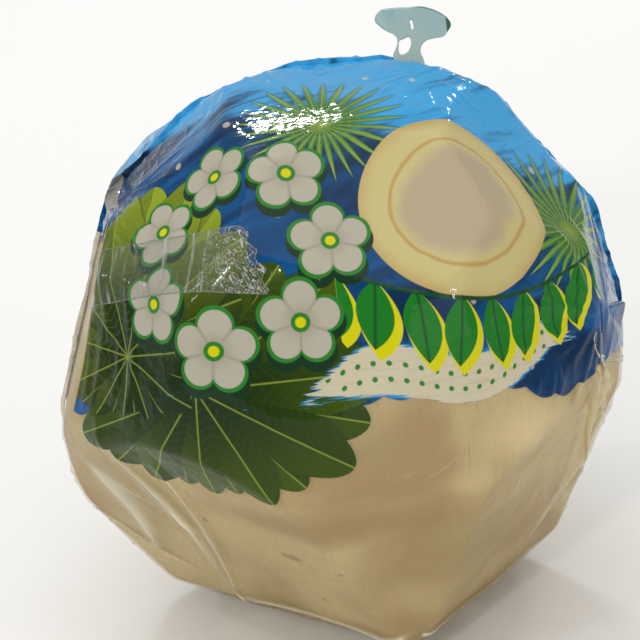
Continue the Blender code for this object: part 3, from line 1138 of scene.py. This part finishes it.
def sun(colour, u, v):
    """A pale sun with a golden rim and a grey-cream heart."""
    far, _, _, _ = round_ring(u, v, SUN, 1)
    grain = cloud(point(u, v), 0.06, 3.0, 0.6)
    face = mix(SUN_CREAM, SUN_GOLD, between(far + grain * 6.0, 21.0, 27.0) * 0.6)
    face = mix(face, SUN_HEART, between(far + grain * 9.0, 19.0, 15.0) * 0.9)
    face = mix(face, SUN_GOLD, inside(calc("ABSOLUTE", far + grain * 3.0 - 16.5) - 0.35, 0.4) * 0.8)
    return mix(colour, face, inside(far - SUN_SIZE))


def foam(colour, u, v):
    """A strip of cream foam with torn, brushed ends and two rows of green dots, and where it is."""
    crest = v + 6.5 - 2.6 * calc("SINE", u * 0.15 + 0.6) - 0.03 * u
    rough = cloud(point(u * 0.10, v * 1.3), 0.9, 3.0, 0.65)
    ends = between(calc("ABSOLUTE", u - FOAM_MIDDLE), 16.0, 40.0) * 7.5
    band = calc("ABSOLUTE", crest) - 4.0 - (rough - 0.5) * 9.0 * between(ends, -1.0, 6.0) - rough * 2.0 + ends
    colour = mix(colour, SKY, inside(band - 0.5, 0.2) * 0.6)
    colour = mix(colour, mix(FOAM, PETAL_SHADE, between(rough, 0.5, 0.75) * 0.35), inside(band))
    dot = (calc("FRACT", (u + 60.0) * (1.0 / DOT_STEP)) - 0.5) * DOT_STEP
    row = calc("ABSOLUTE", crest + 0.2) - 1.6
    dots = inside(calc("SQRT", dot * dot + row * row) - 0.55)
    return mix(colour, GREEN_OUTLINE, dots * inside(band + 0.8)), inside(band)


# %% The garland and the wreath
def garland(colour, u, v):
    """A hanging row of bright leaves, each over its yellow shadow, and their stem."""
    swing = u - GARLAND_MIDDLE
    line = v - 7.5 - swing * swing * 0.009
    shown = inside(calc("ABSOLUTE", swing) - GARLAND_REACH)
    layers = ((0.9, 1.4, 0.5, YELLOW, YELLOW), (0.0, 0.0, 0.0, GREEN_BRIGHT, GREEN_DARK))
    for right, down, grow, body, rib in layers:
        place = u - right
        number = calc("ROUND", place * (1.0 / GARLAND_STEP))
        along = (1.0 - down - line) * (1.0 / GARLAND_DROP)
        sway = calc("COSINE", number * math.pi) * (along - 0.3) * 1.4
        across = calc("ABSOLUTE", place - number * GARLAND_STEP - sway)
        edge = across - along * (1.0 - along) * 14.5 - grow
        leafy = mix(body, rib, inside(across - 0.3) * 0.8)
        colour = mix(colour, leafy, inside(edge) * shown)
    return mix(colour, GREEN_DARK, inside(calc("ABSOLUTE", line - 0.4) - 0.45) * shown)


def wreath(colour, u, v):
    """Pale blossoms in a whole ring, each with a green outline and a dark shadow below it."""
    for drop, shadow in ((1.7, True), (0.0, False)):
        far, aside, number, _ = round_ring(u, v + drop, WREATH, WREATH_PLACES)
        out = far * calc("COSINE", aside) - WREATH_RADIUS
        edge, middle, petal = blossom(far * calc("SINE", aside), out, number, BLOSSOM_SIZE)
        if shadow:
            colour = mix(colour, SHADOW_GREEN, inside(edge - 1.2))
            continue
        colour = mix(colour, GREEN_OUTLINE, inside(edge - 0.9))
        white = mix(PETAL, PETAL_SHADE, between(petal, 0.35, 0.05) * 0.6)
        white = mix(white, PETAL_SHADE, between(middle, 5.0, 1.5) * 0.5)
        colour = mix(colour, white, inside(edge))
        colour = mix(colour, GREEN_OUTLINE, inside(middle - 2.0))
        colour = mix(colour, YELLOW, inside(middle - 1.1))
    return colour


# %% The whole print
def hem_of(u):
    """The height of the print's scalloped lower edge."""
    scallops = calc("ABSOLUTE", calc("SINE", u * (math.pi / 8.0))) * 1.4
    return between(u, 50.0, 74.0) * 6.0 - between(u, 30.0, 50.0) * 6.5 + HEM - scallops


def left_of(v):
    """How far left the print reaches. Above the ear it runs on over the weld."""
    return calc("MINIMUM", v, 30.0) * 0.318 - calc("MAXIMUM", v - 34.0, 0.0) * 1.6 - 68.1


def frond_length(heading):
    """How long a palm frond's leaf is at its heading."""
    return calc("SINE", heading) * 5.0 + 21.0


def low_length(heading):
    """How long a low leaf is: those that point aside are longer."""
    return calc("COSINE", heading * 2.0) * 6.0 + 34.0


def tall_length(heading):
    """How long a tall leaf is: those that point up are longer."""
    return calc("SINE", heading) * 17.0 + 31.0


def broad_leaves(colour, cover, u, v, root, light, leaf_length):
    """Two rows of broad leaves from one root, the hinder row a little shorter."""
    for spin, share in ((math.pi / FAN_LEAVES, 0.93), (0.0, 1.0)):
        def row_length(heading):
            return leaf_length(heading) * share
        row = (root, FAN_LEAVES, spin, row_length, light, LEAF_DEEP)
        colour, leaves = leaf_fan(colour, u, v, *row, tip=0.5, widen=4.6)
        cover = calc("MAXIMUM", cover, leaves)
    return colour, cover


def print_looks(tree):
    """The print's colour, and 1 where the film is printed."""
    u, v = label_place(tree)
    colour = water(u, v)
    for root, spin in zip(FROND_ROOTS, FROND_SPINS):
        colour, _ = leaf_fan(colour, u, v, root, FROND_LEAVES, spin, frond_length, FROND_LIGHT, FROND_DARK)
    cover = inside(hem_of(u) - v)
    plain = colour
    colour, cover = broad_leaves(colour, cover, u, v, LOW_ROOT, LEAF_OLIVE, low_length)
    colour = sun(colour, u, v)
    bright = mix(LEAF_DEEP, LEAF_LIME, between(v - (u - TALL_ROOT[0]) * 0.5, -12.0, 34.0))
    colour, cover = broad_leaves(colour, cover, u, v, TALL_ROOT, bright, tall_length)
    colour = mix(plain, colour, inside(calc("SQRT", u * u + v * v) - PRINT_RADIUS))
    colour, strip = foam(colour, u, v)
    colour = wreath(garland(colour, u, v), u, v)
    cover = calc("MAXIMUM", cover, strip) * inside(left_of(v) - u, 0.25)
    return u, v, colour, cover * (1.0 - kept(tree, "bare"))


# %% [markdown]
# ## Film, printed and clear
# The ink lies on the film's inner side, so print and clear film share one glossy face. Clear film is drawn as
# a milky veil that softens the husk, and more of it where the film stands off. Fine crinkles, too small for
# the mesh, are bumps: thin winding lines, strongest near the weld. Broad veils and streaks are placed from
# the
# photograph: grey bands of milky film, pale lines of painted highlight along creases and the base's edges,
# dark lines of painted shade beside them, and a broad cream streak of painted light on the low right. Fold
# crests are paler, partly as milky film and partly as painted highlight. The number named bare says how free
# of ink a sheet that stands off the film is.

# %% Film material
# Pale for milky fold crests and for painted highlights.
PALE_MILK_AND_HIGHLIGHT = shade(232, 224, 196)
MILK_YELLOW = shade(214, 196, 136)
# Cream painted light for the low facet at the right.
PAINTED_LIGHT_CREAM = shade(228, 208, 156)
MILK_GREY = shade(196, 190, 164)
VEILS = (((125, 490), 11.0, 24.0, 0.34), ((579, 386), 3.0, 6.0, 0.40), ((200, 590), 16.0, 4.0, 0.25))
# Streaks along creases and edges: grey bands of milky film, pale lines of painted highlight, dark lines of
# painted shade, and a broad cream streak of painted light.
MILK_HIGHLIGHT_AND_SHADE_STREAKS = (
    (((84, 432), (165, 560)), 5.0, MILK_GREY, 0.5),
    (((103, 412), (160, 498), (232, 586)), 2.6, MILK_GREY, 0.6),
    (((96, 414), (152, 500), (226, 588)), 0.6, CREASE_PAINTED_SHADE, 0.7),
    (((150, 458), (208, 530), (235, 584)), 1.0, PALE_MILK_AND_HIGHLIGHT, 0.55),
    (((146, 462), (203, 536), (231, 588)), 0.45, CREASE_PAINTED_SHADE, 0.6),
    (((152, 572), (190, 590), (240, 597), (330, 618), (400, 634)), 1.5, PALE_MILK_AND_HIGHLIGHT, 0.95),
    (((572, 534), (500, 580), (424, 632)), 1.6, PALE_MILK_AND_HIGHLIGHT, 0.9),
    (((430, 476), (446, 466), (456, 455)), 0.6, PALE_MILK_AND_HIGHLIGHT, 0.36),
    (((502, 500), (514, 492), (520, 474)), 0.6, PALE_MILK_AND_HIGHLIGHT, 0.5),
    (((536, 518), (544, 500), (543, 482)), 0.6, PALE_MILK_AND_HIGHLIGHT, 0.5),
    (((568, 372), (584, 380), (590, 400)), 1.6, MILK_GREY, 0.55),
    (((594, 400), (572, 470), (530, 545)), 11.0, PAINTED_LIGHT_CREAM, 0.62),
    (((604, 372), (600, 415), (588, 470)), 2.2, PALE_MILK_AND_HIGHLIGHT, 0.6),
    (((595, 368), (594, 410), (584, 458)), 1.2, MILK_YELLOW, 0.7),
    (((586, 378), (586, 410), (581, 460)), 0.45, CREASE_PAINTED_SHADE, 0.9),
    (((558, 500), (580, 480), (592, 450)), 0.8, PALE_MILK_AND_HIGHLIGHT, 0.5),
)


def film_looks(tree):
    """Printed film; clear film, milkier where it stands off the husk, with painted highlights and shade."""
    u, v, colour, cover = print_looks(tree)
    flat = point(u, v)
    loose = between(kept(tree, "loose"), 0.7, 2.0)
    haze = cloud(flat, 0.05, 3.0, 0.6)
    veil = loose * 0.40 + between(haze, 0.4, 0.7) * 0.10 + 0.26
    for pixel, wide, high, share in VEILS:
        veil = veil + between(far_from(u, v, pixel, wide, high) + haze * 0.6, 1.7, 0.6) * share
    near_weld = between(calc("SQRT", u * u + (v - 8.0) * (v - 8.0)), 42.0, 84.0) * 0.2 + 0.35
    drawn = point(u, v * 0.5)
    crinkles = ridges(drawn, 0.08, 6.0, 1.0, 0.5) + ridges(drawn, 0.24, 6.0, 0.0, 0.3) * 0.25
    fold = kept(tree, "fold")
    # Fold crests are paler: partly milky film that stands off, partly painted highlight.
    clear = mix(mix(CLEAR_TINT, MILKY, loose), PALE_MILK_AND_HIGHLIGHT, between(fold, 0.7, 1.6) * 0.6)
    veil = veil + between(fold, 0.5, 1.6) * 0.2
    # Milky bands, painted highlights and painted shade along creases and edges, and painted light on the low
    # right.
    for pixels, wide, tone, share in MILK_HIGHLIGHT_AND_SHADE_STREAKS:
        on_streak = between(from_path(u, v, pixels) + haze * wide - wide * 0.5, wide, wide * 0.2) * share
        clear = mix(clear, tone, on_streak)
        veil = calc("MAXIMUM", veil, on_streak)
    veil = calc("MINIMUM", veil, 0.92)
    return {
        "Base Color": mix(clear, colour, cover),
        "Roughness": haze * 0.08 + 0.05,
        "Alpha": calc("MAXIMUM", cover, veil),
        "Height": crinkles * near_weld + cloud(flat, 0.45, 1.0) * 0.6,
    }


film_finish = finish_of("Printed shrink film", film_looks, relief=0.18, IOR=1.3)
for sheet in (film_front, film_back, weld_ear, weld_flap, weld_crumple, weld_ridge):
    sheet.data.materials.append(film_finish)

# %% [markdown]
# ## Tab and tape
# The melted tab is thick enough to be a cloudy grey-green, with a dark green bead along its right edge where
# printed film drew together. The tape is almost clear where it sticks and frosted where air is under it.

# %% Tab material
def tab_looks(tree):
    """Cloudy, melted film with a dark green bead along one edge."""
    place = body_place(tree)
    soft = cloud(place, 90.0, 2.0)
    colour = mix(shade(146, 178, 180), shade(168, 186, 176), between(soft, 0.35, 0.65))
    colour = mix(colour, shade(8, 92, 62), kept(tree, "rim"))
    return {"Base Color": colour, "Roughness": soft * 0.2 + 0.28, "Height": cloud(place, 500.0, 2.0)}


top_tab.data.materials.append(finish_of("Melted film", tab_looks, relief=0.12))


# %% Tape material
def tape_looks(tree):
    """Clear tape, frosted in streaks and at its crinkled end."""
    u, v = label_place(tree)
    end = kept(tree, "end")
    streaks = between(cloud(point(u * 0.5, v * 0.045), 1.0, 3.0, 0.6), 0.50, 0.70)
    crush = between(ridges(point(u * 1.5 + v * 0.7, v * 0.8 - u * 0.3), 0.6, 5.0, 3.0, 1.2), 0.45, 0.95)
    frost = streaks * (1.0 - end) * 0.26 + crush * end * 0.42
    return {
        "Base Color": mix(shade(142, 148, 140), shade(222, 222, 210), between(frost, 0.0, 0.3)),
        "Roughness": frost * 0.3 + 0.1,
        "Alpha": calc("MAXIMUM", frost + 0.07, kept(tree, "rim") * 0.4),
        "Height": crush * end * 0.8 + cloud(point(u, v), 0.9, 2.0) * 0.2,
    }


tape.data.materials.append(finish_of("Clear tape", tape_looks, relief=0.2))

# %% [markdown]
# ## Floor, lights and sky
# The floor is plain and pale. Two broad, weak softboxes, one above and one in front, light the nut evenly,
# and they are too dim to show in the film's gloss. Six small lamps add little light, but the gloss shows them
# as the short, crisp highlights that tell film from paper. The sky is a soft white, and the picture's tones
# are kept as they are.

# %% Floor
bpy.ops.mesh.primitive_plane_add(size=4.0, location=(0.0, 0.0, 0.0))
floor = bpy.context.object
floor.name = "Floor"


def floor_looks(tree):
    """A pale floor with a faint change of tone."""
    place = body_place(tree)
    tone = cloud(place, 3.0, 3.0)
    colour = mix(shade(244, 244, 243), shade(238, 238, 237), tone)
    return {"Base Color": colour, "Roughness": tone * 0.1 + 0.6}


floor.data.materials.append(finish_of("Pale floor", floor_looks))
floor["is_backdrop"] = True


# %% Lights
def softbox(name, place, size, power, colour=(1.0, 1.0, 1.0)):
    """An area light that looks at the coconut's heart."""
    lamp = bpy.data.lights.new(name, "AREA")
    lamp.shape = "RECTANGLE"
    lamp.size, lamp.size_y = size
    lamp.energy = power
    lamp.color = colour
    item = bpy.data.objects.new(name, lamp)
    bpy.context.scene.collection.objects.link(item)
    item.location = place
    item.rotation_euler = (HEART - Vector(place)).to_track_quat("-Z", "Y").to_euler()


softbox("Softbox_Top", (0.0, 0.25, 1.3), (1.8, 1.5), 8.5, (1.0, 0.98, 0.95))
softbox("Lamp_Back", (-0.06, 0.86, 0.70), (0.16, 0.035), 1.6)
softbox("Fill_Front", (0.60, -1.10, 0.20), (1.6, 1.0), 4.5, (1.0, 0.97, 0.92))
softbox("Lamp_Front", (-0.30, -0.80, 0.60), (0.05, 0.05), 1.4, (1.0, 0.99, 0.97))
softbox("Strip_Left", (-0.55, -0.30, 0.42), (0.02, 0.20), 0.5)
softbox("Lamp_Right", (0.55, -0.45, 0.35), (0.03, 0.03), 0.2)
softbox("Lamp_Left", (-0.80, 0.20, 0.70), (0.03, 0.10), 0.7)
softbox("Lamp_Back_Right", (0.45, 0.90, 0.40), (0.16, 0.03), 0.8)
SKY_LIGHT = 0.44
studio = bpy.data.worlds.new("Soft studio")
studio.use_nodes = True
studio.node_tree.nodes["Background"].inputs["Color"].default_value = (1.0, 1.0, 1.0, 1.0)
studio.node_tree.nodes["Background"].inputs["Strength"].default_value = SKY_LIGHT
bpy.context.scene.world = studio
bpy.context.scene.view_settings.view_transform = "Standard"

# %% [markdown]
# ## What each piece stands for
# Every piece rides on the one body and takes the place of a solid.

# %% Ride, replace and finish
for piece in (film_front, film_back, weld_ear, weld_flap, weld_crumple, weld_ridge, top_tab):
    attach(piece, "root")
    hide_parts("film_wrap")
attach(husk, "root")
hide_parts("coconut")
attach(tape, "root")
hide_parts("clear_tape")

low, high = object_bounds()
print("solids", [round(v / MM, 2) for v in (*CAD_LOW, *CAD_HIGH)])
print("pieces", [round(v / MM, 2) for v in (*low, *high)])
